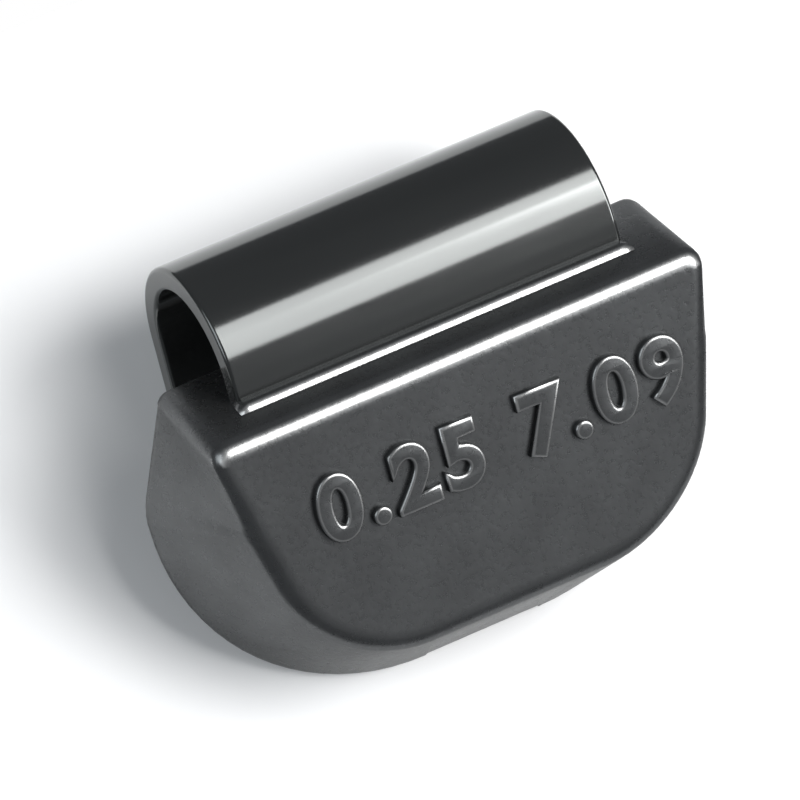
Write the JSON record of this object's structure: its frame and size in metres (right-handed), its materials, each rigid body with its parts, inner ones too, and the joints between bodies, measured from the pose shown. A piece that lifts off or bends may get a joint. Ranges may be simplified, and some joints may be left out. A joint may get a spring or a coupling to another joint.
{
  "type": "wheel balance weight",
  "caption": "Clip-on balance weight for a steel wheel: a coated cast-zinc block with a rounded, flared lower edge and a sprung steel clip that hooks over the rim's lip.",
  "frame": {"origin": "centre of the clip's bend, in the middle of its width, where the lip of the rim sits", "axes": "+X along the rim, +Y towards the tyre, +Z away from the wheel's axle"},
  "size_m": [0.0204, 0.0088, 0.0159],
  "materials": {
    "coated_zinc": "satin",
    "coated_spring_steel": "gloss"
  },
  "bodies": {
    "root": {"weight_body": "coated_zinc", "spring_clip": "coated_spring_steel"}
  },
  "joints": []
}
